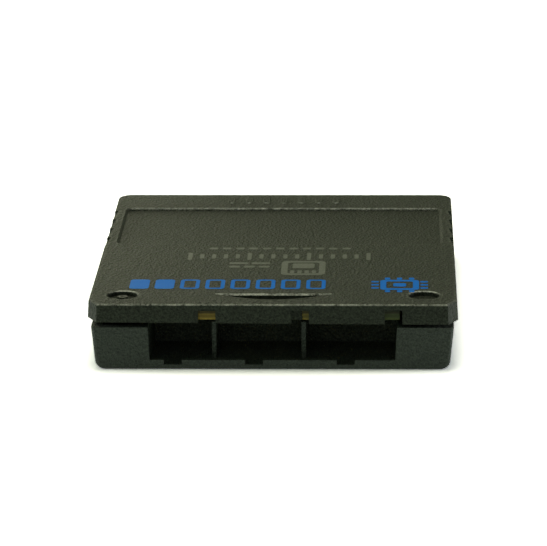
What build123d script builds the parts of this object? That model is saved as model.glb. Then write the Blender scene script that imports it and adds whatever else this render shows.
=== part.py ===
"""Console memory card: a two-shell moulded housing around a small circuit board.

Millimetres, +Z up. The card lies flat, its connector mouth faces -Y and the label recess lies
towards +Y. The origin is the centre of the footprint.
"""

import os
from math import radians, tan

from build123d import *

os.makedirs("parts", exist_ok=True)

# Whole card, with the width across the flange of the upper shell and the height to its plain top
CARD_LENGTH = 54.4
CARD_WIDTH = 42.5
CARD_HEIGHT = 7.75

# Seam between the shells: it stands open a little further on the left of this worn card
SEAM_OPENING = 0.53
SEAM_SPRING = 0.24

# Upper shell
UPPER_SKIRT = 2.23
UPPER_DRAFT = 3.0
TOP_WALL = 0.95
TOP_EDGE_ROUND = 0.25
REAR_CORNER = 1.8
FRONT_CHAMFER_WIDTH = 1.15
FRONT_CHAMFER_LENGTH = 2.35
LIP_WALL = 0.9
LIP_NOTCH_COUNT = 3
LIP_NOTCH_WIDTH = 2.02
LIP_NOTCH_PITCH = 10.66
LIP_NOTCH_INSET = 0.4
LIP_NOTCH_COVER = 0.72

# Label recess with sloping walls
LABEL_SIDE_RIM = 1.34
LABEL_LENGTH = 18.6
LABEL_DEPTH = 0.34
LABEL_WALL_SLOPE = 40.0
LABEL_CORNER = 1.0
REAR_RIM = 7.4

# Low finger ribs across the rear rim
FINGER_RIB_COUNT = 7
FINGER_RIB_PITCH = 2.2
FINGER_RIB_WIDTH = 1.0
FINGER_RIB_LENGTH = 3.0
FINGER_RIB_HEIGHT = 0.12
FINGER_RIB_SLOPE = 45.0
FINGER_RIB_SETBACK = 3.6

# Thumb scoop behind the front lip
SCOOP_WIDTH = 13.4
SCOOP_LENGTH = 2.7
SCOOP_DEPTH = 0.62
SCOOP_SETBACK = 4.8
SCOOP_EDGE = 0.18

# Round dimples near the front corners, the left one with a gate nub
DIMPLE_DIAMETER = 3.5
DIMPLE_DEPTH = 0.55
DIMPLE_EDGE = 0.18
DIMPLE_INSET = 3.9
DIMPLE_SETBACK = 4.4
GATE_NUB_DIAMETER = 1.2
GATE_NUB_HEIGHT = 0.35

# Sawtooth grip pockets in the long top edges
GRIP_COUNT = 4
GRIP_PITCH = 4.55
GRIP_DEPTH = 0.5
GRIP_HEIGHT = 0.5
GRIP_REAR_SETBACK = 9.0

# Lower shell
FLANGE_OVERHANG = 0.5
FLANGE_OVERHANG_ENDS = 0.2
LOWER_DRAFT = 5.7
LOWER_WALL = 1.25
BASE_WALL = 0.6
BOTTOM_ROUND = 1.1
LOWER_REAR_ROUND = 0.95
LOWER_FRONT_ROUND = 0.4
CAVITY_CORNER = 0.6

# Tongue of the upper shell in the rabbet of the lower rim
RIM_WALL = 0.6
RABBET_DEPTH = 1.0
TONGUE_CLEARANCE = 0.1
TONGUE_END_GAP = 0.15

# Connector mouth: three bays between two divider ribs
LEFT_BAY = 7.24
MIDDLE_BAY = 9.8
RIGHT_BAY = 10.46
DIVIDER = 0.5
DIVIDER_SETBACK = 2.6
MOUTH_DEPTH = 10.0
MOUTH_WALL = 1.2
MOUTH_DRAFT = 2.7
THRESHOLD_HEIGHT = 0.54
THRESHOLD_WALL = 0.9
KEY_GAP_WIDTH = 2.05
LEFT_KEY_OFFSET = 0.79
MIDDLE_KEY_OFFSET = 0.5
RIGHT_KEY_OFFSET = 0.62

# Snap hooks of the upper shell under catches of the lower shell
HOOK_LENGTH = 4.0
HOOK_WALL = 0.8
HOOK_CLEARANCE = 0.1
HOOK_SETBACK_FRONT = 16.0
HOOK_SETBACK_REAR = 9.5
BARB_REACH = 0.4
BARB_HEIGHT = 0.6
CATCH_REACH = 0.55
CATCH_HEIGHT = 0.6
CATCH_DROP = 1.1

# Circuit board, clamped under the top wall
BOARD_THICKNESS = 1.0
BOARD_CLEARANCE = 0.05
BOARD_SIDE_GAP = 0.4
BOARD_TONGUE_LAP = 0.3
BOARD_REAR_MARGIN = 1.9
BOARD_CORNER = 1.0
KEY_RIB_WIDTH = 1.5
KEY_RIB_LAP = 0.3
KEY_RIB_LENGTH = 1.5
KEY_RIB_GAP = 0.08
POST_DIAMETER = 3.0
PIN_DIAMETER = 1.6
PIN_CLEARANCE = 0.1
POST_INSET = 3.2

# Contact lands under the front of the board
LAND_WIDTH = 2.2
LEFT_LANDS = 2
MIDDLE_LANDS = 3
RIGHT_LANDS = 3
LAND_THICKNESS = 0.08
LAND_FRONT_GAP = 0.4
LAND_REAR_GAP = 0.4

# Chip packages under the board
LEAD_THICKNESS = 0.15
LEAD_WIDTH = 0.3
CHIP_STANDOFF = 0.1
CHIP_EDGE = 0.12
CHIP_GAP = 1.6
FLASH_LENGTH = 18.4
FLASH_WIDTH = 10.16
FLASH_THICKNESS = 1.0
FLASH_LEADS = 22
FLASH_PITCH = 0.8
FLASH_LEAD_REACH = 0.8
CONTROLLER_WIDTH = 10.0
CONTROLLER_THICKNESS = 1.4
CONTROLLER_LEADS = 16
CONTROLLER_PITCH = 0.5
CONTROLLER_LEAD_REACH = 1.0
SHOULDER_SHARE = 0.25
KNEE_SHARE = 0.45

# Passive parts under the board
PASSIVE_LENGTH = 1.6
PASSIVE_WIDTH = 0.8
CAPACITOR_HEIGHT = 0.8
RESISTOR_HEIGHT = 0.45
TERMINAL_LENGTH = 0.3
TERMINAL_THICKNESS = 0.03
PASSIVE_SPACING = 2.6
PASSIVE_GAP = 2.0
CAPACITORS_LEFT = 3
CAPACITORS_RIGHT = 2
RESISTOR_COUNT = 4
RESISTOR_SPACING = 5.0
RESISTOR_GAP = 1.2
RESONATOR_LENGTH = 3.2
RESONATOR_WIDTH = 1.3
RESONATOR_HEIGHT = 1.0
RESONATOR_EDGE = 0.1

# Levels
seam_z = CARD_HEIGHT - UPPER_SKIRT
skirt_base_z = seam_z - SEAM_SPRING
rim_z = seam_z - SEAM_OPENING
ceiling_z = CARD_HEIGHT - TOP_WALL
board_top_z = ceiling_z - BOARD_CLEARANCE
board_z = board_top_z - BOARD_THICKNESS
tongue_z = rim_z - RABBET_DEPTH + TONGUE_END_GAP
catch_z = rim_z - CATCH_DROP - CATCH_HEIGHT
barb_z = catch_z - HOOK_CLEARANCE

# Plan lines
half_width = CARD_WIDTH / 2
front_y = -CARD_LENGTH / 2
rear_y = CARD_LENGTH / 2
skirt_flare = (SEAM_SPRING / 2) * tan(radians(UPPER_DRAFT))
crest_x = half_width - UPPER_SKIRT * tan(radians(UPPER_DRAFT))
lower_half = half_width - FLANGE_OVERHANG
lower_front_y = front_y + FLANGE_OVERHANG_ENDS
lower_rear_y = rear_y - FLANGE_OVERHANG_ENDS
cavity_half = lower_half - LOWER_WALL
cavity_front_y = lower_front_y + LOWER_WALL
cavity_rear_y = lower_rear_y - LOWER_WALL
lip_y = front_y + LIP_WALL
dimple_x = half_width - DIMPLE_INSET
dimple_y = front_y + DIMPLE_SETBACK
rabbet_half = lower_half - RIM_WALL
rabbet_rear_y = lower_rear_y - RIM_WALL
tongue_half = rabbet_half - TONGUE_CLEARANCE
tongue_front_y = cavity_front_y + TONGUE_CLEARANCE
tongue_rear_y = rabbet_rear_y - TONGUE_CLEARANCE
hook_out_x = cavity_half - CATCH_REACH - HOOK_CLEARANCE
hook_in_x = hook_out_x - HOOK_WALL

# Mouth and bays from left to right
mouth_half = (LEFT_BAY + MIDDLE_BAY + RIGHT_BAY) / 2 + DIVIDER
mouth_rear_y = lower_front_y + MOUTH_DEPTH
bulkhead_rear_y = mouth_rear_y + MOUTH_WALL
mouth_sill_half = mouth_half - (rim_z - BASE_WALL) * tan(radians(MOUTH_DRAFT))
left_divider_x = -mouth_half + LEFT_BAY + DIVIDER / 2
right_divider_x = mouth_half - RIGHT_BAY - DIVIDER / 2
left_bay_x = -mouth_half + LEFT_BAY / 2
middle_bay_x = (left_divider_x + right_divider_x) / 2
right_bay_x = mouth_half - RIGHT_BAY / 2
bay_xs = (left_bay_x, middle_bay_x, right_bay_x)
key_gap_xs = (
    left_bay_x - LEFT_KEY_OFFSET,
    middle_bay_x - MIDDLE_KEY_OFFSET,
    right_bay_x - RIGHT_KEY_OFFSET,
)
lip_notch_x = mouth_half - LIP_NOTCH_INSET - LIP_NOTCH_PITCH
key_rib_x = lip_notch_x - (LIP_NOTCH_WIDTH - KEY_RIB_WIDTH) / 2 - KEY_RIB_LAP

# Board and what hangs under it
board_half = hook_in_x - BOARD_SIDE_GAP
board_front_y = lip_y + BOARD_CLEARANCE
tongue_board_half = mouth_half + BOARD_TONGUE_LAP
land_front_y = board_front_y + KEY_RIB_LENGTH + LAND_FRONT_GAP
resistor_y = bulkhead_rear_y + RESISTOR_GAP + PASSIVE_WIDTH / 2
flash_half = FLASH_WIDTH / 2 + FLASH_LEAD_REACH
flash_y = resistor_y + PASSIVE_WIDTH / 2 + CHIP_GAP + flash_half
controller_half = CONTROLLER_WIDTH / 2 + CONTROLLER_LEAD_REACH
controller_y = flash_y + flash_half + CHIP_GAP + controller_half
passive_x = controller_half + PASSIVE_GAP + PASSIVE_LENGTH / 2
resonator_x = controller_half + PASSIVE_GAP + RESONATOR_LENGTH / 2
board_rear_y = controller_y + controller_half + BOARD_REAR_MARGIN
post_x = board_half - POST_INSET
post_y = board_rear_y - POST_INSET

# Planes that several pieces share
seam_plane = Plane(
    origin=(0, 0, seam_z),
    x_dir=(CARD_WIDTH, 0, -SEAM_SPRING),
    z_dir=(SEAM_SPRING, 0, CARD_WIDTH),
)
hook_planes = (
    Plane.XZ.offset(-(front_y + HOOK_SETBACK_FRONT)),
    Plane.XZ.offset(-(rear_y - HOOK_SETBACK_REAR)),
)


# Lower shell: drafted tray, keyed mouth, board supports and catches
with BuildPart() as lower_shell:
    with BuildSketch(Plane.XZ.offset(-lower_rear_y)):
        with BuildLine():
            Polyline(
                (-lower_half, rim_z),
                (-lower_half + rim_z * tan(radians(LOWER_DRAFT)), 0),
                (lower_half - rim_z * tan(radians(LOWER_DRAFT)), 0),
                (lower_half, rim_z),
                close=True,
            )
        make_face()
        fillet(vertices().group_by(Axis.Y)[0], radius=BOTTOM_ROUND)
    extrude(amount=lower_rear_y - lower_front_y)
    fillet(faces().sort_by(Axis.Y)[-1].edges().sort_by(Axis.Z)[:-1], radius=LOWER_REAR_ROUND)
    fillet(faces().sort_by(Axis.Y)[0].edges().sort_by(Axis.Z)[:-1], radius=LOWER_FRONT_ROUND)

    # Inside of the tray
    with BuildSketch(Plane.XY.offset(BASE_WALL)):
        with Locations((0, (cavity_front_y + cavity_rear_y) / 2)):
            Rectangle(2 * cavity_half, cavity_rear_y - cavity_front_y)
        fillet(vertices(), radius=CAVITY_CORNER)
    extrude(amount=rim_z - BASE_WALL, mode=Mode.SUBTRACT)

    # Rabbet along the sides and the rear of the rim
    with BuildSketch(Plane.XY.offset(rim_z - RABBET_DEPTH)):
        with Locations((0, cavity_front_y)):
            Rectangle(2 * rabbet_half, rabbet_rear_y - cavity_front_y, align=(Align.CENTER, Align.MIN))
    extrude(amount=RABBET_DEPTH, mode=Mode.SUBTRACT)

    # Walls of the mouth and the bulkhead that carries the board
    with BuildSketch(Plane.XY.offset(BASE_WALL)):
        with Locations((0, cavity_front_y)):
            Rectangle(
                2 * (mouth_half + MOUTH_WALL),
                bulkhead_rear_y - cavity_front_y,
                align=(Align.CENTER, Align.MIN),
            )
    extrude(amount=rim_z - BASE_WALL)
    with BuildSketch(Plane.XY.offset(rim_z)):
        with Locations((0, mouth_rear_y)):
            Rectangle(2 * mouth_half, MOUTH_WALL, align=(Align.CENTER, Align.MIN))
    extrude(amount=board_z - rim_z)

    # Mouth, drafted at its sides and open at the top
    with BuildSketch(Plane.XZ.offset(-mouth_rear_y)):
        with BuildLine():
            Polyline(
                (-mouth_half, rim_z),
                (-mouth_sill_half, BASE_WALL),
                (mouth_sill_half, BASE_WALL),
                (mouth_half, rim_z),
                close=True,
            )
        make_face()
    extrude(amount=mouth_rear_y - lower_front_y, mode=Mode.SUBTRACT)

    # Threshold with its three key gaps, and the divider ribs behind it
    with BuildSketch(Plane.XY.offset(BASE_WALL)):
        with Locations((0, lower_front_y)):
            Rectangle(2 * mouth_half, THRESHOLD_WALL, align=(Align.CENTER, Align.MIN))
        with Locations(*[(x, lower_front_y) for x in key_gap_xs]):
            Rectangle(KEY_GAP_WIDTH, THRESHOLD_WALL, align=(Align.CENTER, Align.MIN), mode=Mode.SUBTRACT)
    extrude(amount=THRESHOLD_HEIGHT)
    with BuildSketch(Plane.XY.offset(BASE_WALL)):
        with Locations(*[(x, lower_front_y + DIVIDER_SETBACK) for x in (left_divider_x, right_divider_x)]):
            Rectangle(DIVIDER, MOUTH_DEPTH - DIVIDER_SETBACK, align=(Align.CENTER, Align.MIN))
    extrude(amount=rim_z - BASE_WALL)

    # Posts under the rear of the board, with pins through it
    with BuildSketch(Plane.XY.offset(BASE_WALL)):
        with Locations((-post_x, post_y), (post_x, post_y)):
            Circle(POST_DIAMETER / 2)
    extrude(amount=board_z - BASE_WALL)
    with BuildSketch(Plane.XY.offset(board_z)):
        with Locations((-post_x, post_y), (post_x, post_y)):
            Circle(PIN_DIAMETER / 2)
    extrude(amount=BOARD_THICKNESS)

    # Catches for the snap hooks
    with BuildSketch(*hook_planes):
        with Locations((cavity_half, catch_z)):
            Rectangle(CATCH_REACH, CATCH_HEIGHT, align=(Align.MAX, Align.MIN))
        mirror(about=Plane.YZ)
    extrude(amount=HOOK_LENGTH / 2, both=True)
lower_shell.part.label = "lower_shell"
export_step(lower_shell.part, "parts/lower_shell.step")


# Upper shell: drafted lid with its lip, recesses, grips, tongue and hooks
with BuildPart() as upper_shell:
    with BuildSketch(Plane.XY.offset(skirt_base_z)):
        Rectangle(CARD_WIDTH + 2 * skirt_flare, CARD_LENGTH + 2 * skirt_flare)
        fillet(vertices().group_by(Axis.Y)[-1], radius=REAR_CORNER)
        chamfer(
            vertices().group_by(Axis.Y)[0],
            length=FRONT_CHAMFER_WIDTH,
            length2=FRONT_CHAMFER_LENGTH,
            reference=edges().sort_by(Axis.Y)[0],
        )
    extrude(amount=CARD_HEIGHT - skirt_base_z, taper=UPPER_DRAFT)
    fillet(faces().sort_by(Axis.Z)[-1].edges(), radius=TOP_EDGE_ROUND)
    split(bisect_by=seam_plane, keep=Keep.TOP)

    # Inside of the lid
    with BuildSketch(Plane.XY.offset(rim_z)):
        with Locations((0, lip_y)):
            Rectangle(2 * cavity_half, cavity_rear_y - lip_y, align=(Align.CENTER, Align.MIN))
        fillet(vertices(), radius=CAVITY_CORNER)
    extrude(amount=ceiling_z - rim_z, mode=Mode.SUBTRACT)

    # Notches in the front lip
    with BuildSketch(Plane.XY.offset(rim_z)):
        with Locations((lip_notch_x, front_y)):
            with GridLocations(LIP_NOTCH_PITCH, 0, LIP_NOTCH_COUNT, 1):
                Rectangle(LIP_NOTCH_WIDTH, LIP_WALL, align=(Align.CENTER, Align.MIN))
    extrude(amount=CARD_HEIGHT - LIP_NOTCH_COVER - rim_z, mode=Mode.SUBTRACT)

    # Label recess
    with BuildSketch(Plane.XY.offset(CARD_HEIGHT)):
        with Locations((0, rear_y - REAR_RIM)):
            Rectangle(2 * (crest_x - LABEL_SIDE_RIM), LABEL_LENGTH, align=(Align.CENTER, Align.MAX))
        fillet(vertices(), radius=LABEL_CORNER)
    extrude(amount=-LABEL_DEPTH, taper=LABEL_WALL_SLOPE, mode=Mode.SUBTRACT)

    # Finger ribs
    with BuildSketch(Plane.XY.offset(CARD_HEIGHT)):
        with Locations((0, rear_y - FINGER_RIB_SETBACK)):
            with GridLocations(FINGER_RIB_PITCH, 0, FINGER_RIB_COUNT, 1):
                SlotOverall(FINGER_RIB_LENGTH, FINGER_RIB_WIDTH, rotation=90)
    extrude(amount=FINGER_RIB_HEIGHT, taper=FINGER_RIB_SLOPE)

    # Thumb scoop: a shallow arc that runs out towards the front lip
    with BuildSketch(Plane.XZ.offset(-(front_y + SCOOP_SETBACK))):
        with BuildLine():
            Line((-SCOOP_WIDTH / 2, CARD_HEIGHT), (SCOOP_WIDTH / 2, CARD_HEIGHT))
            ThreePointArc(
                (-SCOOP_WIDTH / 2, CARD_HEIGHT),
                (0, CARD_HEIGHT - SCOOP_DEPTH),
                (SCOOP_WIDTH / 2, CARD_HEIGHT),
            )
        make_face()
    extrude(amount=SCOOP_SETBACK, dir=(0, -SCOOP_LENGTH, SCOOP_DEPTH), mode=Mode.SUBTRACT)
    with BuildSketch(Plane.YZ):
        with Locations((front_y + SCOOP_SETBACK, CARD_HEIGHT)):
            Polygon((0, 0), (SCOOP_EDGE, 0), (0, -SCOOP_EDGE), align=None)
    extrude(amount=SCOOP_WIDTH / 2, both=True, mode=Mode.SUBTRACT)

    # Dimples and the gate nub
    with Locations((-dimple_x, dimple_y, CARD_HEIGHT), (dimple_x, dimple_y, CARD_HEIGHT)):
        Hole(radius=DIMPLE_DIAMETER / 2, depth=DIMPLE_DEPTH)
    fillet(edges(Select.LAST).group_by(Axis.Z)[-1], radius=DIMPLE_EDGE)
    with BuildSketch(Plane.XY.offset(CARD_HEIGHT - DIMPLE_DEPTH)):
        with Locations((-dimple_x, dimple_y)):
            Circle(GATE_NUB_DIAMETER / 2)
    extrude(amount=GATE_NUB_HEIGHT)

    # Grip pockets: each ramps in towards the rear and ends at a step
    with BuildSketch(Plane.XY.offset(CARD_HEIGHT - GRIP_HEIGHT)):
        with Locations(*[(0, rear_y - GRIP_REAR_SETBACK - i * GRIP_PITCH) for i in range(GRIP_COUNT)]):
            Polygon(
                (crest_x, -GRIP_PITCH),
                (half_width, -GRIP_PITCH),
                (half_width, 0),
                (crest_x - GRIP_DEPTH, 0),
                align=None,
            )
        mirror(about=Plane.YZ)
    extrude(amount=GRIP_HEIGHT, mode=Mode.SUBTRACT)

    # Tongue along the sides and the rear
    with BuildSketch(Plane.XY.offset(tongue_z)):
        with Locations((0, tongue_front_y)):
            Rectangle(2 * tongue_half, tongue_rear_y - tongue_front_y, align=(Align.CENTER, Align.MIN))
            Rectangle(
                2 * cavity_half,
                cavity_rear_y - tongue_front_y,
                align=(Align.CENTER, Align.MIN),
                mode=Mode.SUBTRACT,
            )
    extrude(amount=seam_z + SEAM_SPRING - tongue_z)

    # Rib that keys the board
    with BuildSketch(Plane.XY.offset(board_z)):
        with Locations((key_rib_x, lip_y)):
            Rectangle(KEY_RIB_WIDTH, KEY_RIB_LENGTH, align=(Align.CENTER, Align.MIN))
    extrude(amount=ceiling_z - board_z)

    # Snap hooks
    with BuildSketch(*hook_planes):
        with BuildLine():
            Polyline(
                (hook_in_x, ceiling_z),
                (hook_in_x, barb_z - BARB_HEIGHT),
                (hook_out_x, barb_z - BARB_HEIGHT),
                (hook_out_x + BARB_REACH, barb_z),
                (hook_out_x, barb_z),
                (hook_out_x, ceiling_z),
                close=True,
            )
        make_face()
        mirror(about=Plane.YZ)
    extrude(amount=HOOK_LENGTH / 2, both=True)
upper_shell.part.label = "upper_shell"
export_step(upper_shell.part, "parts/upper_shell.step")


# Circuit board: front tongue over the mouth, wide rear, key slot and pin holes
with BuildPart() as circuit_board:
    with BuildSketch(Plane.XY.offset(board_z)):
        with Locations((0, board_front_y)):
            Rectangle(
                2 * tongue_board_half,
                bulkhead_rear_y - board_front_y,
                align=(Align.CENTER, Align.MIN),
            )
        with Locations((0, bulkhead_rear_y)):
            Rectangle(2 * board_half, board_rear_y - bulkhead_rear_y, align=(Align.CENTER, Align.MIN))
        fillet(vertices().group_by(Axis.Y)[-1], radius=BOARD_CORNER)
        with Locations((key_rib_x, board_front_y)):
            Rectangle(
                KEY_RIB_WIDTH + 2 * KEY_RIB_GAP,
                KEY_RIB_LENGTH + KEY_RIB_GAP,
                align=(Align.CENTER, Align.MIN),
                mode=Mode.SUBTRACT,
            )
        with Locations((-post_x, post_y), (post_x, post_y)):
            Circle(PIN_DIAMETER / 2 + PIN_CLEARANCE, mode=Mode.SUBTRACT)
    extrude(amount=BOARD_THICKNESS)
circuit_board.part.label = "circuit_board"
export_step(circuit_board.part, "parts/circuit_board.step")


# Contact lands, spread evenly over each bay
bays = (
    (left_bay_x, LEFT_BAY, LEFT_LANDS),
    (middle_bay_x, MIDDLE_BAY, MIDDLE_LANDS),
    (right_bay_x, RIGHT_BAY, RIGHT_LANDS),
)
land_xs = [
    bay_x + (i - (count - 1) / 2) * bay_width / count
    for bay_x, bay_width, count in bays
    for i in range(count)
]

for i, land_x in enumerate(land_xs):
    with BuildPart() as contact_land:
        with BuildSketch(Plane.XY.offset(board_z - LAND_THICKNESS)):
            with Locations((land_x, land_front_y)):
                Rectangle(
                    LAND_WIDTH,
                    mouth_rear_y - LAND_REAR_GAP - land_front_y,
                    align=(Align.CENTER, Align.MIN),
                )
        extrude(amount=LAND_THICKNESS)
    contact_land.part.label = f"contact_land_{i + 1}"
    export_step(contact_land.part, f"parts/contact_land_{i + 1}.step")


def chip_body(length, width, thickness, centre_y):
    """Moulded chip package that hangs under the board on its leads."""
    with BuildPart() as body:
        with BuildSketch(Plane.XY.offset(board_z - CHIP_STANDOFF - thickness)):
            with Locations((0, centre_y)):
                Rectangle(length, width)
        extrude(amount=thickness)
        chamfer(faces().sort_by(Axis.Z)[0].edges(), length=CHIP_EDGE)
    return body.part


def lead_row(count, pitch, body_half, thickness, reach):
    """One row of gull-wing leads on the +Y side of a package centred on the Z axis."""
    middle_z = board_z - CHIP_STANDOFF - thickness / 2
    shoulder = body_half + reach * SHOULDER_SHARE
    knee = body_half + reach * KNEE_SHARE
    toe = body_half + reach
    half_lead = LEAD_THICKNESS / 2
    row_planes = [Plane.YZ.offset((i - (count - 1) / 2) * pitch) for i in range(count)]
    with BuildPart() as row:
        with BuildSketch(*row_planes):
            with BuildLine():
                Polyline(
                    (body_half, middle_z - half_lead),
                    (shoulder, middle_z - half_lead),
                    (knee, board_z - LEAD_THICKNESS),
                    (toe, board_z - LEAD_THICKNESS),
                    (toe, board_z),
                    (knee - half_lead, board_z),
                    (shoulder - half_lead, middle_z + half_lead),
                    (body_half, middle_z + half_lead),
                    close=True,
                )
            make_face()
        extrude(amount=LEAD_WIDTH / 2, both=True)
    return row.part


# Flash memory chip with leads along its two long sides
flash_chip = chip_body(FLASH_LENGTH, FLASH_WIDTH, FLASH_THICKNESS, flash_y)
flash_chip.label = "flash_chip"
export_step(flash_chip, "parts/flash_chip.step")

flash_row = lead_row(FLASH_LEADS, FLASH_PITCH, FLASH_WIDTH / 2, FLASH_THICKNESS, FLASH_LEAD_REACH)
with BuildPart() as flash_leads:
    with Locations((0, flash_y)):
        with PolarLocations(0, 2):
            add(flash_row)
flash_leads.part.label = "flash_leads"
export_step(flash_leads.part, "parts/flash_leads.step")

# Controller chip with leads on all four sides
controller_chip = chip_body(CONTROLLER_WIDTH, CONTROLLER_WIDTH, CONTROLLER_THICKNESS, controller_y)
controller_chip.label = "controller_chip"
export_step(controller_chip, "parts/controller_chip.step")

controller_row = lead_row(
    CONTROLLER_LEADS, CONTROLLER_PITCH, CONTROLLER_WIDTH / 2, CONTROLLER_THICKNESS, CONTROLLER_LEAD_REACH
)
with BuildPart() as controller_leads:
    with Locations((0, controller_y)):
        with PolarLocations(0, 4):
            add(controller_row)
controller_leads.part.label = "controller_leads"
export_step(controller_leads.part, "parts/controller_leads.step")


def passive(name, height, centre):
    """Chip part under the board: a body between two slightly thicker end terminals."""
    with BuildPart() as piece:
        with BuildSketch(Plane.XY.offset(board_z - height)):
            with Locations(centre):
                Rectangle(PASSIVE_LENGTH, PASSIVE_WIDTH)
        extrude(amount=height)
        with BuildSketch(Plane.XY.offset(board_z - height + TERMINAL_THICKNESS)):
            with Locations(centre):
                Rectangle(PASSIVE_LENGTH - 2 * TERMINAL_LENGTH, PASSIVE_WIDTH)
        extrude(amount=-TERMINAL_THICKNESS, mode=Mode.SUBTRACT)
    piece.part.label = name
    export_step(piece.part, f"parts/{name}.step")


# Series resistors in a row behind the bulkhead
for i in range(RESISTOR_COUNT):
    resistor_x = (i - (RESISTOR_COUNT - 1) / 2) * RESISTOR_SPACING
    passive(f"resistor_{i + 1}", RESISTOR_HEIGHT, (resistor_x, resistor_y))

# Capacitors on both sides of the controller
for i in range(CAPACITORS_LEFT):
    passive(f"capacitor_{i + 1}", CAPACITOR_HEIGHT, (-passive_x, controller_y - i * PASSIVE_SPACING))
for i in range(CAPACITORS_RIGHT):
    number = CAPACITORS_LEFT + i + 1
    passive(f"capacitor_{number}", CAPACITOR_HEIGHT, (passive_x, controller_y - i * PASSIVE_SPACING))

# Ceramic resonator beside the controller
with BuildPart() as ceramic_resonator:
    with BuildSketch(Plane.XY.offset(board_z - RESONATOR_HEIGHT)):
        with Locations((resonator_x, controller_y + PASSIVE_SPACING)):
            Rectangle(RESONATOR_LENGTH, RESONATOR_WIDTH)
    extrude(amount=RESONATOR_HEIGHT)
    chamfer(faces().sort_by(Axis.Z)[0].edges(), length=RESONATOR_EDGE)
ceramic_resonator.part.label = "ceramic_resonator"
export_step(ceramic_resonator.part, "parts/ceramic_resonator.step")
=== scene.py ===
import math

import bmesh
import bpy
from mathutils import Matrix, Vector


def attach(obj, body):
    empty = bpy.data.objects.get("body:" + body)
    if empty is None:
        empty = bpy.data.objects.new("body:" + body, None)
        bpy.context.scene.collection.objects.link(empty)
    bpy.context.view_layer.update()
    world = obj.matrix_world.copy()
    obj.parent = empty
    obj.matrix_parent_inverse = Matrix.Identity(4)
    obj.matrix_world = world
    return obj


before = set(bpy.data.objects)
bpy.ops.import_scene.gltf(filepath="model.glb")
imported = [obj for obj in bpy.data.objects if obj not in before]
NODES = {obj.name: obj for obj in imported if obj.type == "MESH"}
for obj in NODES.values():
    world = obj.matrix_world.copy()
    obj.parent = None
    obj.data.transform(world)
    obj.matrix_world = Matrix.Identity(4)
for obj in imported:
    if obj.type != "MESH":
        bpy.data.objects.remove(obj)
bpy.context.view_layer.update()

# A console memory card lying flat with its connector mouth towards the camera.
# Lengths are millimetres in the card's own frame and become metres where a mesh is written.
MM = 0.001
LID_TOP = 7.75
BOARD_TOP = 6.75
INK_FILM = 0.012
# Rubbing wear and the painted highlight on the crests reach this far in from an edge.
WEAR_AND_HIGHLIGHT_DEPTH = 0.45
# The scoop and the two dimples lie within this reach of one line across the lid.
FINGER_Y = -22.3
FINGER_REACH = 1.8
# A wave texture turns this many radians in one unit of its scale.
WAVE_RADIANS = 20


def linear(code):
    """The linear colour of an sRGB hex value."""
    channels = [int(code[i:i + 2], 16) / 255 for i in (1, 3, 5)]
    return tuple(
        c / 12.92 if c <= 0.04045 else ((c + 0.055) / 1.055) ** 2.4 for c in channels) + (1.0,)


def add_node(tree, kind, inputs=None, stops=(), **settings):
    """Adds a node with its settings and the stops of its ramp, and links or sets the inputs."""
    node = tree.nodes.new(kind)
    for name, value in settings.items():
        setattr(node, name, value)
    for i, (position, code) in enumerate(stops):
        node.color_ramp.elements[i].position = position
        node.color_ramp.elements[i].color = linear(code)
    for socket, value in (inputs or {}).items():
        if isinstance(value, bpy.types.NodeSocket):
            tree.links.new(value, node.inputs[socket])
        else:
            node.inputs[socket].default_value = value
    return node


def new_material(name):
    """An empty node material, its tree and its Object coordinates in metres."""
    material = bpy.data.materials.new(name)
    material.use_nodes = True
    tree = material.node_tree
    tree.nodes.clear()
    place = add_node(tree, "ShaderNodeTexCoord").outputs["Object"]
    return material, tree, place


def close_material(tree, shader):
    """Makes the shader the surface of its material."""
    add_node(tree, "ShaderNodeOutputMaterial", {"Surface": shader.outputs[0]})


def per_mm(size):
    """The scale of a texture whose features are that many millimetres wide."""
    return 1 / (size * MM)


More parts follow.
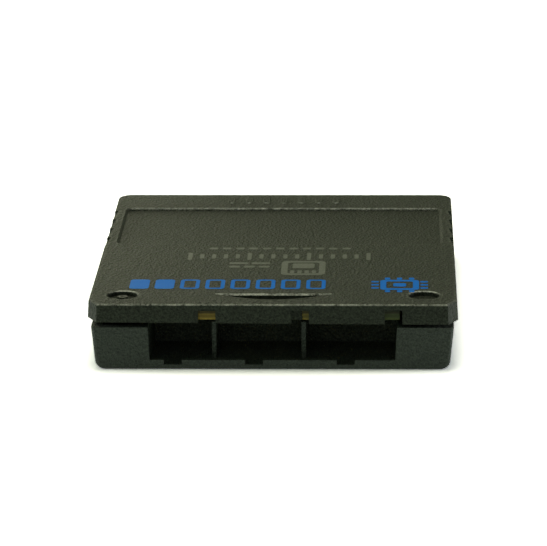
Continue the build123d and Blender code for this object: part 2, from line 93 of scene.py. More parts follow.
def spark_eroded_abs(name, flat, mean, wall, sheen, wall_sheen):
    """Black ABS from a spark-eroded mould: a fine even grain that breaks up every highlight, an
    olive cast in the pigment, upright walls whose tone is partly painted light, and crests painted
    paler, partly as handling wear and partly as a painted highlight."""
    material, tree, place = new_material(name)
    # The mould's grain is about 0.1 mm. It is drawn at 0.2 to 0.35 mm so that it shows at this
    # size, and its finer part nearly twice as long the way the card slides.
    drawn = add_node(tree, "ShaderNodeMapping", {"Vector": place, "Scale": (1.0, 0.55, 1.0)})
    grain = add_node(tree, "ShaderNodeTexNoise", {
        "Vector": drawn.outputs[0], "Scale": per_mm(0.2), "Detail": 2.0, "Roughness": 0.6})
    pits = add_node(tree, "ShaderNodeTexVoronoi", {
        "Vector": place, "Scale": per_mm(0.35), "Randomness": 1.0})
    # Flats and upright walls get ramps of their own; the walls' tone is partly painted light.
    flat_tone, lit_wall_tone = [
        add_node(tree, "ShaderNodeValToRGB", {"Fac": grain.outputs["Fac"]},
                 stops=((0.38, dark), (0.64, pale)))
        for dark, pale in (flat, wall)]
    # Pigment and flow make clouds some 7 mm across.
    clouds = add_node(tree, "ShaderNodeTexNoise", {
        "Vector": place, "Scale": per_mm(7.0), "Detail": 2.0, "Roughness": 0.5})
    patchy = add_node(tree, "ShaderNodeMapRange", {"Value": clouds.outputs["Fac"], "To Max": 0.4})
    cloudy = add_node(tree, "ShaderNodeMix", {
        "Factor": patchy.outputs[0], "A": flat_tone.outputs["Color"], "B": linear(mean)},
        data_type="RGBA")
    # Upright walls are smoother, because the part slides along them as it leaves the mould. Their
    # own ramp has less contrast, and its tone is partly painted light on the front faces.
    facing = add_node(tree, "ShaderNodeSeparateXYZ", {
        "Vector": add_node(tree, "ShaderNodeNewGeometry").outputs["Normal"]})
    upright = add_node(tree, "ShaderNodeMapRange", {
        "Value": facing.outputs["Z"], "From Min": 0.7, "From Max": 0.2})
    walled_and_lit = add_node(tree, "ShaderNodeMix", {
        "Factor": upright.outputs[0], "A": cloudy.outputs["Result"],
        "B": lit_wall_tone.outputs["Color"]}, data_type="RGBA")
    # Sliding over tables leaves hairline scuffs about 0.06 mm wide and some 5 mm long.
    scored = add_node(tree, "ShaderNodeMapping", {
        "Vector": place, "Rotation": (0.0, 0.0, math.radians(24.0)), "Scale": (1.0, 0.04, 1.0)})
    scuffs = add_node(tree, "ShaderNodeTexNoise", {
        "Vector": scored.outputs[0], "Scale": per_mm(0.22), "Detail": 1.0})
    scuffed = add_node(tree, "ShaderNodeMapRange", {
        "Value": scuffs.outputs["Fac"], "From Min": 0.74, "From Max": 0.82, "To Max": 0.35})
    scratched = add_node(tree, "ShaderNodeMix", {
        "Factor": scuffed.outputs[0], "A": walled_and_lit.outputs["Result"], "B": linear("#5c604e")},
        data_type="RGBA")
    # The crests round the top are painted paler in broken dashes of 1 to 2 mm: partly rubbing
    # wear, partly a painted highlight of the light from above. They are palest where they lead when
    # the card is pushed home and face up, and least where they face sideways. On a crest the
    # plastic under the surface soon ends.
    depth = add_node(tree, "ShaderNodeAmbientOcclusion", {
        "Distance": WEAR_AND_HIGHLIGHT_DEPTH * MM}, samples=8, inside=True, only_local=True)
    crest = add_node(tree, "ShaderNodeMapRange", {
        "Value": depth.outputs["AO"], "From Min": 0.97, "From Max": 0.86})
    split = add_node(tree, "ShaderNodeSeparateXYZ", {"Vector": place})
    raised = add_node(tree, "ShaderNodeMapRange", {
        "Value": split.outputs["Z"], "From Min": (LID_TOP - WEAR_AND_HIGHLIGHT_DEPTH) * MM,
        "From Max": (LID_TOP - 0.2) * MM})
    leading = add_node(tree, "ShaderNodeMapRange", {
        "Value": facing.outputs["Y"], "From Min": 0.02, "From Max": -0.35})
    upward = add_node(tree, "ShaderNodeMapRange", {
        "Value": facing.outputs["Z"], "From Min": 0.2, "From Max": 0.6})
    aside = add_node(tree, "ShaderNodeMath", {0: facing.outputs["X"]}, operation="ABSOLUTE")
    straight = add_node(tree, "ShaderNodeMapRange", {
        "Value": aside.outputs[0], "From Min": 0.15, "From Max": 0.45,
        "To Min": 1.0, "To Max": 0.25})
    dashes = add_node(tree, "ShaderNodeTexNoise", {
        "Vector": place, "Scale": per_mm(1.1), "Detail": 4.0, "Roughness": 0.75})
    broken = add_node(tree, "ShaderNodeMapRange", {
        "Value": dashes.outputs["Fac"], "From Min": 0.33, "From Max": 0.66})
    # The painted highlight, with fingertip polish, is brightest on the scoop and the two dimples.
    near_scoop_line = add_node(tree, "ShaderNodeMath", {
        0: split.outputs["Y"], 1: FINGER_Y * MM, 2: FINGER_REACH * MM}, operation="COMPARE")
    polish_and_highlight = add_node(tree, "ShaderNodeMapRange", {
        "Value": near_scoop_line.outputs[0], "To Min": 1.0, "To Max": 2.4})
    rubbed_and_lit = crest.outputs[0]
    for share in (raised, leading, upward, straight, broken, polish_and_highlight):
        rubbed_and_lit = add_node(tree, "ShaderNodeMath", {
            0: rubbed_and_lit, 1: share.outputs[0]}, operation="MULTIPLY", use_clamp=True).outputs[0]
    # The near-white on the crests is painted highlight together with wear.
    worn_and_highlit = add_node(tree, "ShaderNodeMix", {
        "Factor": rubbed_and_lit, "A": scratched.outputs["Result"], "B": linear("#f2f5ec")},
        data_type="RGBA")
    # The black takes most of its tone from the sheen on this relief, so it stays black from above.
    lustre = add_node(tree, "ShaderNodeMapRange", {
        "Value": upright.outputs[0], "To Min": sheen, "To Max": wall_sheen})
    gloss = add_node(tree, "ShaderNodeMapRange", {
        "Value": grain.outputs["Fac"], "From Min": 0.3, "From Max": 0.7,
        "To Min": 0.48, "To Max": 0.68})
    relief = add_node(tree, "ShaderNodeMath", {
        0: pits.outputs["Distance"], 1: grain.outputs["Fac"]}, operation="ADD")
    rugged = add_node(tree, "ShaderNodeMapRange", {
        "Value": upright.outputs[0], "To Min": 1.0, "To Max": 0.6})
    bump = add_node(tree, "ShaderNodeBump", {
        "Strength": rugged.outputs[0], "Distance": 0.3 * MM, "Height": relief.outputs[0]})
    surface = add_node(tree, "ShaderNodeBsdfPrincipled", {
        "Base Color": worn_and_highlit.outputs["Result"], "Roughness": gloss.outputs[0], "IOR": 1.54,
        "Specular IOR Level": lustre.outputs[0], "Normal": bump.outputs[0]})
    close_material(tree, surface)
    return material


def glass_epoxy_laminate():
    """FR-4 board: green solder mask over copper on its faces, and a routed edge that shows tan
    resin with glass plies running along it."""
    material, tree, place = new_material("glass_epoxy_laminate")
    facing = add_node(tree, "ShaderNodeSeparateXYZ", {
        "Vector": add_node(tree, "ShaderNodeNewGeometry").outputs["Normal"]})
    flat = add_node(tree, "ShaderNodeMath", {0: facing.outputs["Z"]}, operation="ABSOLUTE")
    masked = add_node(tree, "ShaderNodeMath", {
        0: flat.outputs[0], 1: 0.7}, operation="GREATER_THAN")
    # A ply of glass cloth is about 0.14 mm. The wave turns one radian in that, so its bands are
    # drawn some 0.9 mm wide, which shows at this size.
    stretched = add_node(tree, "ShaderNodeMapping", {"Vector": place, "Scale": (0.25, 0.25, 1.0)})
    plies = add_node(tree, "ShaderNodeTexWave", {
        "Vector": stretched.outputs[0], "Scale": per_mm(0.14) / WAVE_RADIANS, "Distortion": 1.5,
        "Detail": 2.0, "Detail Scale": 2.0}, bands_direction="Z")
    # Cut fibres about 0.12 mm thick and four times as long fray the bands.
    fibres = add_node(tree, "ShaderNodeTexNoise", {
        "Vector": stretched.outputs[0], "Scale": per_mm(0.12), "Detail": 3.0})
    ragged = add_node(tree, "ShaderNodeMath", {
        0: plies.outputs["Fac"], 1: fibres.outputs["Fac"]}, operation="MULTIPLY")
    lit_edge_tone = add_node(tree, "ShaderNodeValToRGB", {"Fac": ragged.outputs[0]},
                     stops=((0.0, "#776626"), (1.0, "#dfc25c")))
    shaded_edge_tone = add_node(tree, "ShaderNodeValToRGB", {"Fac": ragged.outputs[0]},
                       stops=((0.0, "#33401e"), (1.0, "#626f35")))
    # The cut edge is painted darker and greener from left to right: painted shade, as if the light
    # fell from the left.
    split = add_node(tree, "ShaderNodeSeparateXYZ", {"Vector": place})
    light_falloff = add_node(tree, "ShaderNodeMapRange", {
        "Value": split.outputs["X"], "From Min": -4.0 * MM, "From Max": 13.0 * MM})
    edge_in_falloff = add_node(tree, "ShaderNodeMix", {
        "Factor": light_falloff.outputs[0], "A": lit_edge_tone.outputs["Color"], "B": shaded_edge_tone.outputs["Color"]},
        data_type="RGBA")
    # Its upper third is painted dark: painted shade under the lid's notch, over the thin dark mask
    # and copper of the board's top.
    shaded_top = add_node(tree, "ShaderNodeMapRange", {
        "Value": split.outputs["Z"], "From Min": (BOARD_TOP - 0.42) * MM,
        "From Max": (BOARD_TOP - 0.22) * MM, "To Max": 0.85})
    edge = add_node(tree, "ShaderNodeMix", {
        "Factor": shaded_top.outputs[0], "A": edge_in_falloff.outputs["Result"], "B": linear("#1c1a10")},
        data_type="RGBA")
    # Copper tracks 0.25 mm wide lift the mask in faint lighter lines.
    tracks = add_node(tree, "ShaderNodeTexBrick", {
        "Vector": place, "Scale": per_mm(1.0), "Color1": linear("#1d4a2c"),
        "Color2": linear("#21512f"), "Mortar": linear("#2f6a3c"), "Mortar Size": 0.12,
        "Brick Width": 3.0, "Row Height": 0.75})
    coat = add_node(tree, "ShaderNodeMix", {
        "Factor": masked.outputs[0], "A": edge.outputs["Result"], "B": tracks.outputs["Color"]},
        data_type="RGBA")
    gloss = add_node(tree, "ShaderNodeMapRange", {
        "Value": masked.outputs[0], "To Min": 0.75, "To Max": 0.35})
    bump = add_node(tree, "ShaderNodeBump", {
        "Strength": 0.4, "Distance": 0.02 * MM, "Height": ragged.outputs[0]})
    surface = add_node(tree, "ShaderNodeBsdfPrincipled", {
        "Base Color": coat.outputs["Result"], "Roughness": gloss.outputs[0], "IOR": 1.55,
        "Normal": bump.outputs[0]})
    close_material(tree, surface)
    return material


def hard_gold_plate():
    """Hard gold flashed over nickel: a warm satin metal with wipe marks along the way the card
    slides."""
    material, tree, place = new_material("hard_gold_plate")
    # The socket's springs leave wipe marks about 0.08 mm wide along the card's length.
    drawn = add_node(tree, "ShaderNodeMapping", {"Vector": place, "Scale": (1.0, 0.03, 1.0)})
    wipes = add_node(tree, "ShaderNodeTexNoise", {
        "Vector": drawn.outputs[0], "Scale": per_mm(0.08), "Detail": 2.0})
    tone = add_node(tree, "ShaderNodeValToRGB", {"Fac": wipes.outputs["Fac"]},
                    stops=((0.0, "#c79a45"), (1.0, "#ecc873")))
    gloss = add_node(tree, "ShaderNodeMapRange", {
        "Value": wipes.outputs["Fac"], "To Min": 0.18, "To Max": 0.4})
    bump = add_node(tree, "ShaderNodeBump", {
        "Strength": 0.15, "Distance": 0.005 * MM, "Height": wipes.outputs["Fac"]})
    surface = add_node(tree, "ShaderNodeBsdfPrincipled", {
        "Base Color": tone.outputs["Color"], "Metallic": 1.0, "Roughness": gloss.outputs[0],
        "Normal": bump.outputs[0]})
    close_material(tree, surface)
    return material


def silica_filled_epoxy():
    """Filled black epoxy of a chip body: charcoal with a dry speckle of silica."""
    material, tree, place = new_material("silica_filled_epoxy")
    # Silica filler is some 0.05 mm. It is drawn at 0.12 mm so that it shows.
    filler = add_node(tree, "ShaderNodeTexNoise", {
        "Vector": place, "Scale": per_mm(0.12), "Detail": 4.0, "Roughness": 0.7})
    tone = add_node(tree, "ShaderNodeValToRGB", {"Fac": filler.outputs["Fac"]},
                    stops=((0.35, "#202124"), (0.7, "#34363a")))
    gloss = add_node(tree, "ShaderNodeMapRange", {
        "Value": filler.outputs["Fac"], "To Min": 0.5, "To Max": 0.75})
    bump = add_node(tree, "ShaderNodeBump", {
        "Strength": 0.5, "Distance": 0.01 * MM, "Height": filler.outputs["Fac"]})
    surface = add_node(tree, "ShaderNodeBsdfPrincipled", {
        "Base Color": tone.outputs["Color"], "Roughness": gloss.outputs[0], "IOR": 1.55,
        "Normal": bump.outputs[0]})
    close_material(tree, surface)
    return material


def tinned_copper():
    """Solder-dipped lead frame: grey metal with soft puddled brightness."""
    material, tree, place = new_material("tinned_copper")
    # Solder freezes in grains of about 0.15 mm.
    grains = add_node(tree, "ShaderNodeTexVoronoi", {
        "Vector": place, "Scale": per_mm(0.15)}, feature="SMOOTH_F1")
    tone = add_node(tree, "ShaderNodeValToRGB", {"Fac": grains.outputs["Distance"]},
                    stops=((0.0, "#a9abac"), (1.0, "#d3d4d2")))
    gloss = add_node(tree, "ShaderNodeMapRange", {
        "Value": grains.outputs["Distance"], "To Min": 0.22, "To Max": 0.45})
    surface = add_node(tree, "ShaderNodeBsdfPrincipled", {
        "Base Color": tone.outputs["Color"], "Metallic": 1.0, "Roughness": gloss.outputs[0]})
    close_material(tree, surface)
    return material


def fired_ceramic(name, pale, dark, grit):
    """Fired ceramic of a board component: matt, chalky, with grains of that many millimetres."""
    material, tree, place = new_material(name)
    grains = add_node(tree, "ShaderNodeTexNoise", {
        "Vector": place, "Scale": per_mm(grit), "Detail": 4.0})
    tone = add_node(tree, "ShaderNodeValToRGB", {"Fac": grains.outputs["Fac"]},
                    stops=((0.3, dark), (0.7, pale)))
    gloss = add_node(tree, "ShaderNodeMapRange", {
        "Value": grains.outputs["Fac"], "To Min": 0.4, "To Max": 0.65})
    bump = add_node(tree, "ShaderNodeBump", {
        "Strength": 0.3, "Distance": 0.005 * MM, "Height": grains.outputs["Fac"]})
    surface = add_node(tree, "ShaderNodeBsdfPrincipled", {
        "Base Color": tone.outputs["Color"], "Roughness": gloss.outputs[0], "IOR": 1.6,
        "Normal": bump.outputs[0]})
    close_material(tree, surface)
    return material


def pad_print_ink(name, full, thin, sheen):
    """Pad-printed ink: a satin film some 0.01 mm thick that lets the mould grain show and thins
    on its crests."""
    material, tree, place = new_material(name)
    # The grain of about 0.1 mm under the film is drawn at 0.3 mm, as coarse as on the plastic.
    grain = add_node(tree, "ShaderNodeTexNoise", {
        "Vector": place, "Scale": per_mm(0.3), "Detail": 3.0, "Roughness": 0.65})
    cover = add_node(tree, "ShaderNodeValToRGB", {"Fac": grain.outputs["Fac"]},
                     stops=((0.35, full), (0.75, thin)))
    gloss = add_node(tree, "ShaderNodeMapRange", {
        "Value": grain.outputs["Fac"], "To Min": 0.4, "To Max": 0.6})
    bump = add_node(tree, "ShaderNodeBump", {
        "Strength": 0.5, "Distance": 0.02 * MM, "Height": grain.outputs["Fac"]})
    surface = add_node(tree, "ShaderNodeBsdfPrincipled", {
        "Base Color": cover.outputs["Color"], "Roughness": gloss.outputs[0], "IOR": 1.48,
        "Specular IOR Level": sheen, "Normal": bump.outputs[0]})
    close_material(tree, surface)
    return material


FINISHES = {
    "shell_plastic": spark_eroded_abs(
        "spark_eroded_black_abs", flat=("#080a05", "#474e3f"), mean="#1f231b",
        wall=("#20261f", "#3e463c"), sheen=0.3, wall_sheen=0.2),
    "board_laminate": glass_epoxy_laminate(),
    "gold_plate": hard_gold_plate(),
    "chip_epoxy": silica_filled_epoxy(),
    "tinned_lead": tinned_copper(),
    "resonator_ceramic": fired_ceramic(
        "resonator_ceramic_glaze", pale="#c9b27c", dark="#a38a55", grit=0.15),
    "capacitor_ceramic": fired_ceramic(
        "capacitor_fired_ceramic", pale="#b99d78", dark="#967a57", grit=0.1),
    "resistor_ceramic": fired_ceramic(
        "resistor_fired_glass", pale="#2c2d30", dark="#1b1c1e", grit=0.1),
}
BLUE_INK = pad_print_ink("pad_print_ink_blue", full="#0f78ea", thin="#2f86e6", sheen=0.04)
GREY_INK = pad_print_ink("pad_print_ink_grey", full="#74776f", thin="#62655d", sheen=0.25)

for cad_node in NODES.values():
    for slot in cad_node.material_slots:
        slot.material = FINISHES[slot.material.name.split(".")[0]]
# The tray takes a slightly greyer, lighter tone than the lid.
TRAY_TONES = ("#28322c", "#454f48")
NODES["lower_shell"].material_slots[0].material = spark_eroded_abs(
    "spark_eroded_grey_black_abs", flat=TRAY_TONES, mean="#353f39", wall=TRAY_TONES,
    sheen=0.4, wall_sheen=0.4)

# Each rounded corner of the print has this many points.
CORNER_POINTS = 4
# More than any row of the print has.
ALL_BARS = 99


def ink_row_tree():
    """A row of rounded bars as a closed film of ink: the first ones solid, the rest frames."""
    tree = bpy.data.node_groups.new("ink_row", "GeometryNodeTree")
    tree.interface.new_socket("Geometry", in_out="OUTPUT", socket_type="NodeSocketGeometry")
    sizes = (
        ("Count", "Int"), ("Solid", "Int"), ("Long Every", "Int"), ("Pitch", "Float"),
        ("Width", "Float"), ("Length", "Float"), ("Long Length", "Float"), ("Corner", "Float"),
        ("Stroke", "Float"), ("Film", "Float"), ("Turn", "Float"), ("Centre", "Vector"))
    for name, kind in sizes:
        tree.interface.new_socket(name, in_out="INPUT", socket_type="NodeSocket" + kind)
    size = add_node(tree, "NodeGroupInput").outputs
    # Points along the row, with its middle at the centre.
    gaps = add_node(tree, "ShaderNodeMath", {0: size["Count"], 1: 1.0}, operation="SUBTRACT")
    span = add_node(tree, "ShaderNodeMath", {
        0: gaps.outputs[0], 1: size["Pitch"]}, operation="MULTIPLY")
    first = add_node(tree, "ShaderNodeMath", {0: span.outputs[0], 1: -0.5}, operation="MULTIPLY")
    start = add_node(tree, "ShaderNodeCombineXYZ", {"X": first.outputs[0]})
    step = add_node(tree, "ShaderNodeCombineXYZ", {"X": size["Pitch"]})
    row = add_node(tree, "GeometryNodeMeshLine", {
        "Count": size["Count"], "Start Location": start.outputs[0], "Offset": step.outputs[0]})
    # Each bar's outline, and the smaller one inside a frame.
    both = add_node(tree, "ShaderNodeMath", {0: size["Stroke"], 1: 2.0}, operation="MULTIPLY")
    inner_width = add_node(tree, "ShaderNodeMath", {
        0: size["Width"], 1: both.outputs[0]}, operation="SUBTRACT")
    inner_length = add_node(tree, "ShaderNodeMath", {
        0: size["Length"], 1: both.outputs[0]}, operation="SUBTRACT")
    inner_corner = add_node(tree, "ShaderNodeMath", {
        0: size["Corner"], 1: 0.5}, operation="MULTIPLY")
    ring = add_node(tree, "GeometryNodeJoinGeometry")
    outlines = []
    for width, length, corner in (
            (size["Width"], size["Length"], size["Corner"]),
            (inner_width.outputs[0], inner_length.outputs[0], inner_corner.outputs[0])):
        outline = add_node(tree, "GeometryNodeCurvePrimitiveQuadrilateral", {
            "Width": width, "Height": length})
        rounded = add_node(tree, "GeometryNodeFilletCurve", {
            "Curve": outline.outputs[0], "Count": CORNER_POINTS, "Radius": corner,
            "Limit Radius": True}, mode="POLY")
        tree.links.new(rounded.outputs[0], ring.inputs[0])
        outlines.append(rounded)
    # A solid bar fills the first outline and a frame fills what lies between the two.
    bars = []
    for shape in (outlines[0], ring):
        sheet = add_node(tree, "GeometryNodeFillCurve", {
            "Curve": shape.outputs[0]}, mode="TRIANGLES")
        raised = add_node(tree, "GeometryNodeExtrudeMesh", {
            "Mesh": sheet.outputs[0], "Offset": (0.0, 0.0, 1.0), "Offset Scale": size["Film"],
            "Individual": False})
        under = add_node(tree, "GeometryNodeFlipFaces", {"Mesh": sheet.outputs[0]})
        closed = add_node(tree, "GeometryNodeJoinGeometry")
        tree.links.new(raised.outputs[0], closed.inputs[0])
        tree.links.new(under.outputs[0], closed.inputs[0])
        bars.append(add_node(tree, "GeometryNodeMergeByDistance", {
            "Geometry": closed.outputs[0], "Distance": 0.001 * MM}))
    # Every so many bars one is longer.
    index = add_node(tree, "GeometryNodeInputIndex")
    turn_of = add_node(tree, "ShaderNodeMath", {
        0: index.outputs[0], 1: size["Long Every"]}, operation="MODULO")
    is_long = add_node(tree, "ShaderNodeMath", {
        0: turn_of.outputs[0], 1: 0.5}, operation="LESS_THAN")
    reach = add_node(tree, "ShaderNodeMath", {
        0: size["Long Length"], 1: size["Length"]}, operation="DIVIDE")
    stretch = add_node(tree, "ShaderNodeMix", {
        "Factor": is_long.outputs[0], "A": 1.0, "B": reach.outputs[0]}, data_type="FLOAT")
    scale = add_node(tree, "ShaderNodeCombineXYZ", {"X": 1.0, "Y": stretch.outputs[0], "Z": 1.0})
    is_solid = add_node(tree, "ShaderNodeMath", {
        0: index.outputs[0], 1: size["Solid"]}, operation="LESS_THAN")
    is_frame = add_node(tree, "ShaderNodeMath", {
        0: 1.0, 1: is_solid.outputs[0]}, operation="SUBTRACT")
    laid = add_node(tree, "GeometryNodeJoinGeometry")
    for bar, chosen in zip(bars, (is_solid, is_frame)):
        copies = add_node(tree, "GeometryNodeInstanceOnPoints", {
            "Points": row.outputs[0], "Selection": chosen.outputs[0], "Instance": bar.outputs[0],
            "Scale": scale.outputs[0]})
        tree.links.new(copies.outputs[0], laid.inputs[0])
    turned = add_node(tree, "ShaderNodeCombineXYZ", {"Z": size["Turn"]})
    placed = add_node(tree, "GeometryNodeTransform", {
        "Geometry": laid.outputs[0], "Translation": size["Centre"],
        "Rotation": turned.outputs[0]})
    real = add_node(tree, "GeometryNodeRealizeInstances", {"Geometry": placed.outputs[0]})
    add_node(tree, "NodeGroupOutput", {"Geometry": real.outputs[0]})
    return tree


INK_ROW = ink_row_tree()


def ink_row(centre, width, length, count=1, pitch=1.0, corner=0.2, stroke=0.6, solid=ALL_BARS,
            long_every=1, long_length=None, turn=0.0):
    """The mesh of one row of bars on the lid, its sizes in millimetres."""
    holder = bpy.data.objects.new("ink_row", bpy.data.meshes.new("ink_row"))
    bpy.context.scene.collection.objects.link(holder)
    run = holder.modifiers.new("ink_row", "NODES")
    run.node_group = INK_ROW
    wanted = {
        "Count": count, "Solid": solid, "Long Every": long_every, "Pitch": pitch * MM,
        "Width": width * MM, "Length": length * MM, "Long Length": (long_length or length) * MM,
        "Corner": corner * MM, "Stroke": stroke * MM, "Film": INK_FILM * MM,
        "Turn": math.radians(turn), "Centre": (centre[0] * MM, centre[1] * MM, LID_TOP * MM)}
    for socket in INK_ROW.interface.items_tree:
        if socket.in_out == "INPUT":
            run[socket.identifier] = wanted[socket.name]
    depsgraph = bpy.context.evaluated_depsgraph_get()
    mesh = bpy.data.meshes.new_from_object(holder.evaluated_get(depsgraph))
    holder.modifiers.clear()
    bpy.data.objects.remove(holder)
    return mesh


def printed(name, ink, rows):
    """Joins rows of bars into one printed mark that rides with the card."""
    film = bmesh.new()
    for row in rows:
        film.from_mesh(row)
    mesh = bpy.data.meshes.new(name)
    film.to_mesh(mesh)
    film.free()
    mesh.materials.append(ink)
    mark = bpy.data.objects.new(name, mesh)
    bpy.context.scene.collection.objects.link(mark)
    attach(mark, "root")


# Eight memory blocks in a row, the first two full, stand in the wide blue place of the print.
printed("print_memory_blocks", BLUE_INK, [
    ink_row((-5.42, -18.0), 2.25, 4.2, count=8, pitch=2.93, corner=0.5, stroke=0.46, solid=2)])
# A chip with three legs on each side stands in the corner.
CHIP_X, CHIP_Y = 14.55, -18.2
LEG_OUT = 2.85
CHIP_SIDES = (
    (0.0, LEG_OUT, 0.0), (0.0, -LEG_OUT, 0.0), (LEG_OUT, 0.0, 90.0), (-LEG_OUT, 0.0, 90.0))
printed("print_chip_sign", BLUE_INK, [
    ink_row((CHIP_X, CHIP_Y), 4.5, 4.5, corner=0.6, stroke=0.7, solid=0),
    ink_row((CHIP_X, CHIP_Y), 1.5, 1.5, corner=0.3)] + [
    ink_row((CHIP_X + x, CHIP_Y + y), 0.62, 0.9, count=3, pitch=1.4, turn=turn)
    for x, y, turn in CHIP_SIDES])
# A card outline with its contacts, a graduated gauge and plain dashes fill the grey places.
CARD_X = 3.2
printed("print_card_sign", GREY_INK, [
    ink_row((CARD_X, -10.4), 5.2, 6.6, corner=0.8, stroke=0.75, solid=0),
    ink_row((CARD_X, -12.2), 0.5, 1.2, count=4, pitch=0.85, corner=0.1),
    ink_row((CARD_X, -9.4), 2.6, 2.2, corner=0.3)])
printed("print_gauge", GREY_INK, [
    ink_row((0.2, -4.9), 0.5, 2.0, count=16, pitch=1.42, long_every=5, long_length=3.3)])
printed("print_dashes", GREY_INK, [
    ink_row((-3.2, -9.8), 1.3, 0.8, count=3, pitch=1.75),
    ink_row((-3.2, -8.2), 2.2, 0.8, count=2, pitch=2.6),
    ink_row((0.2, -1.05), 1.0, 0.8, count=11, pitch=1.6)])


def look_from(place, pitch, yaw, roll):
    """A camera's turn and place from its angles in degrees: down, to the left and clockwise."""
    pitch, yaw, roll = (math.radians(a) for a in (pitch, yaw, roll))
    ahead = Vector((
        -math.sin(yaw) * math.cos(pitch), math.cos(yaw) * math.cos(pitch), -math.sin(pitch)))
    level = Vector((math.cos(yaw), math.sin(yaw), 0.0))
    upright = level.cross(ahead)
    right = level * math.cos(roll) + upright * math.sin(roll)
    up = upright * math.cos(roll) - level * math.sin(roll)
    turn = Matrix((right, up, -ahead)).transposed().to_4x4()
    return Matrix.Translation(Vector(place) * MM) @ turn


# The camera was fitted to the card's edges in a picture of this width in pixels.
IMAGE_WIDTH = 547
FOCAL_PIXELS = 3810.9
camera = bpy.data.objects.new("camera", bpy.data.cameras.new("camera"))
bpy.context.scene.collection.objects.link(camera)
camera.data.sensor_fit = "HORIZONTAL"
camera.data.sensor_width = 36.0
camera.data.lens = FOCAL_PIXELS * camera.data.sensor_width / IMAGE_WIDTH
camera.data.clip_start = 0.01
camera.data.clip_end = 20.0
camera.matrix_world = look_from((13.8, -446.2, 120.3), pitch=14.55, yaw=1.858, roll=-0.399)
bpy.context.scene.camera = camera

# How many times its own light the paper shows to the camera, in red, green and blue.
OVEREXPOSED = (2.58, 2.6, 2.86, 1.0)
PAPER_WHITE = "#fffffd"


def white_paper():
    """Matt white paper under the card. It stays white to the camera and keeps the card's shadow."""
    material, tree, place = new_material("matt_white_paper")
    # Paper tooth is about 0.5 mm.
    tooth = add_node(tree, "ShaderNodeTexNoise", {
        "Vector": place, "Scale": per_mm(0.5), "Detail": 2.0})
    tone = add_node(tree, "ShaderNodeValToRGB", {"Fac": tooth.outputs["Fac"]},
                    stops=((0.0, "#ebf2f1"), (1.0, "#f1f8f7")))
    paper = add_node(tree, "ShaderNodeBsdfDiffuse", {"Color": tone.outputs["Color"]})
    # To the camera the paper is overexposed: round the card it follows the light, so the shadow
    # stays, and further out its white is steady.
    far = add_node(tree, "ShaderNodeVectorMath", {0: place}, operation="LENGTH")
    share = add_node(tree, "ShaderNodeMapRange", {
        "Value": far.outputs["Value"], "From Min": 30.0 * MM, "From Max": 150.0 * MM,
        "To Min": 0.04, "To Max": 0.95})
    steady = add_node(tree, "ShaderNodeEmission", {
        "Color": linear(PAPER_WHITE), "Strength": share.outputs[0]})
    bright = add_node(tree, "ShaderNodeBsdfDiffuse", {"Color": OVEREXPOSED})
    seen = add_node(tree, "ShaderNodeAddShader", {0: bright.outputs[0], 1: steady.outputs[0]})
    # A reflection sees its plain white with a little of the steady one.
    glow = add_node(tree, "ShaderNodeEmission", {"Color": linear(PAPER_WHITE), "Strength": 0.25})
    mirrored = add_node(tree, "ShaderNodeAddShader", {0: paper.outputs[0], 1: glow.outputs[0]})
    path = add_node(tree, "ShaderNodeLightPath")
    polished = add_node(tree, "ShaderNodeMath", {
        0: path.outputs["Is Glossy Ray"], 1: path.outputs["Is Transmission Ray"]},
        operation="MAXIMUM")
    indirect = add_node(tree, "ShaderNodeMixShader", {
        0: polished.outputs[0], 1: paper.outputs[0], 2: mirrored.outputs[0]})
    shown = add_node(tree, "ShaderNodeMixShader", {
        0: path.outputs["Is Camera Ray"], 1: indirect.outputs[0], 2: seen.outputs[0]})
    # From below the sheet is clear, so that the underside of the card shows.
    under = add_node(tree, "ShaderNodeMath", {
        0: path.outputs["Is Camera Ray"],
        1: add_node(tree, "ShaderNodeNewGeometry").outputs["Backfacing"]}, operation="MULTIPLY")
    clear = add_node(tree, "ShaderNodeBsdfTransparent")
    sheet = add_node(tree, "ShaderNodeMixShader", {
        0: under.outputs[0], 1: shown.outputs[0], 2: clear.outputs[0]})
    close_material(tree, sheet)
    return material


def paper_floor():
    """A sheet of paper with a window under the card. The card closes it, and from below it shows
    the underside."""
    reach = 1.5
    # The window is the flat of the lower shell, 0.05 mm smaller all round.
    left, right, near, rear = -19.2 * MM, 19.2 * MM, -26.55 * MM, 26.0 * MM
    sheet = [(-reach, -reach), (reach, -reach), (reach, reach), (-reach, reach)]
    window = [(left, near), (right, near), (right, rear), (left, rear)]
    sides = [(i, (i + 1) % 4, (i + 1) % 4 + 4, i + 4) for i in range(4)]
    mesh = bpy.data.meshes.new("paper_floor")
    mesh.from_pydata([(x, y, 0.0) for x, y in sheet + window], [], sides)
    mesh.materials.append(white_paper())
    floor = bpy.data.objects.new("paper_floor", mesh)
    bpy.context.scene.collection.objects.link(floor)


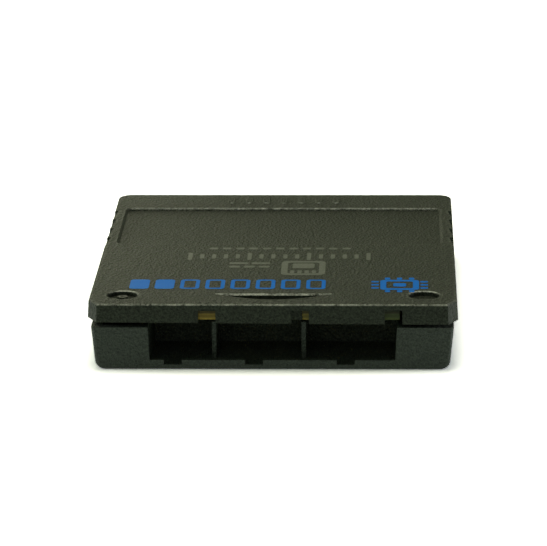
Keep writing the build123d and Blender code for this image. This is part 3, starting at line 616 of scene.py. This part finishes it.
def light_tent():
    """White to the camera, and for the light a tent that is dim on the camera's side."""
    world = bpy.data.worlds.new("light_tent")
    bpy.context.scene.world = world
    world.use_nodes = True
    tree = world.node_tree
    tree.nodes.clear()
    heading = add_node(tree, "ShaderNodeSeparateXYZ", {
        "Vector": add_node(tree, "ShaderNodeTexCoord").outputs["Generated"]})
    behind = add_node(tree, "ShaderNodeMapRange", {
        "Value": heading.outputs["Y"], "From Min": -0.3, "From Max": 0.8,
        "To Min": 0.16, "To Max": 0.25})
    # The window side, on the left, is the brighter one.
    sideways = add_node(tree, "ShaderNodeMapRange", {
        "Value": heading.outputs["X"], "From Min": -0.8, "From Max": 0.8,
        "To Min": 1.7, "To Max": 0.28})
    level = add_node(tree, "ShaderNodeMath", {
        0: behind.outputs[0], 1: sideways.outputs[0]}, operation="MULTIPLY")
    tent = add_node(tree, "ShaderNodeBackground", {
        "Color": linear("#e9f6cb"), "Strength": level.outputs[0]})
    backdrop = add_node(tree, "ShaderNodeBackground", {
        "Color": linear("#ffffff"), "Strength": 1.0})
    # Reflections see the white sweep of the backdrop up to some 8 degrees over the floor.
    sweep = add_node(tree, "ShaderNodeMapRange", {
        "Value": heading.outputs["Z"], "From Min": 0.05, "From Max": 0.14,
        "To Min": 1.0, "To Max": 0.0})
    path = add_node(tree, "ShaderNodeLightPath")
    mirrored = add_node(tree, "ShaderNodeMath", {
        0: path.outputs["Is Glossy Ray"], 1: path.outputs["Is Transmission Ray"]},
        operation="MAXIMUM")
    in_sweep = add_node(tree, "ShaderNodeMath", {
        0: mirrored.outputs[0], 1: sweep.outputs[0]}, operation="MULTIPLY")
    paled = add_node(tree, "ShaderNodeMath", {
        0: sideways.outputs[0], 1: 0.9}, operation="MULTIPLY")
    low = add_node(tree, "ShaderNodeBackground", {
        "Color": linear("#ebf8d0"), "Strength": paled.outputs[0]})
    around = add_node(tree, "ShaderNodeMixShader", {
        0: in_sweep.outputs[0], 1: tent.outputs[0], 2: low.outputs[0]})
    seen = add_node(tree, "ShaderNodeMixShader", {
        0: path.outputs["Is Camera Ray"], 1: around.outputs[0], 2: backdrop.outputs[0]})
    add_node(tree, "ShaderNodeOutputWorld", {"Surface": seen.outputs[0]})


# The lamps point at the middle of the card, in metres.
LAMP_AIM = (0.0, 0.0, 0.004)


def softbox(name, place, size, power, colour="#ffffff"):
    """A soft square lamp, its place and size in metres, turned towards the card."""
    lamp = bpy.data.lights.new(name, "AREA")
    lamp.shape = "SQUARE"
    lamp.size = size
    lamp.energy = power
    lamp.color = linear(colour)[:3]
    holder = bpy.data.objects.new(name, lamp)
    bpy.context.scene.collection.objects.link(holder)
    turn = (Vector(LAMP_AIM) - Vector(place)).to_track_quat("-Z", "Y")
    holder.matrix_world = Matrix.Translation(place) @ turn.to_matrix().to_4x4()
    holder.visible_camera = False


bpy.context.scene.view_settings.view_transform = "Standard"
paper_floor()
light_tent()
softbox("overhead_softbox", (0.0, 0.08, 0.74), size=0.28, power=1.74, colour="#fbf8e2")
softbox("back_lamp", (-0.055, 0.108, 0.046), size=0.08, power=0.027, colour="#f9f7da")
softbox("left_lamp", (-0.08, -0.018, 0.012), size=0.02, power=0.01)
softbox("right_lamp", (0.08, -0.018, 0.012), size=0.02, power=0.015)
softbox("front_fill", (0.0, -0.5, 0.25), size=0.3, power=0.17)
softbox("under_softbox", (0.05, 0.1, -0.5), size=0.4, power=0.9)
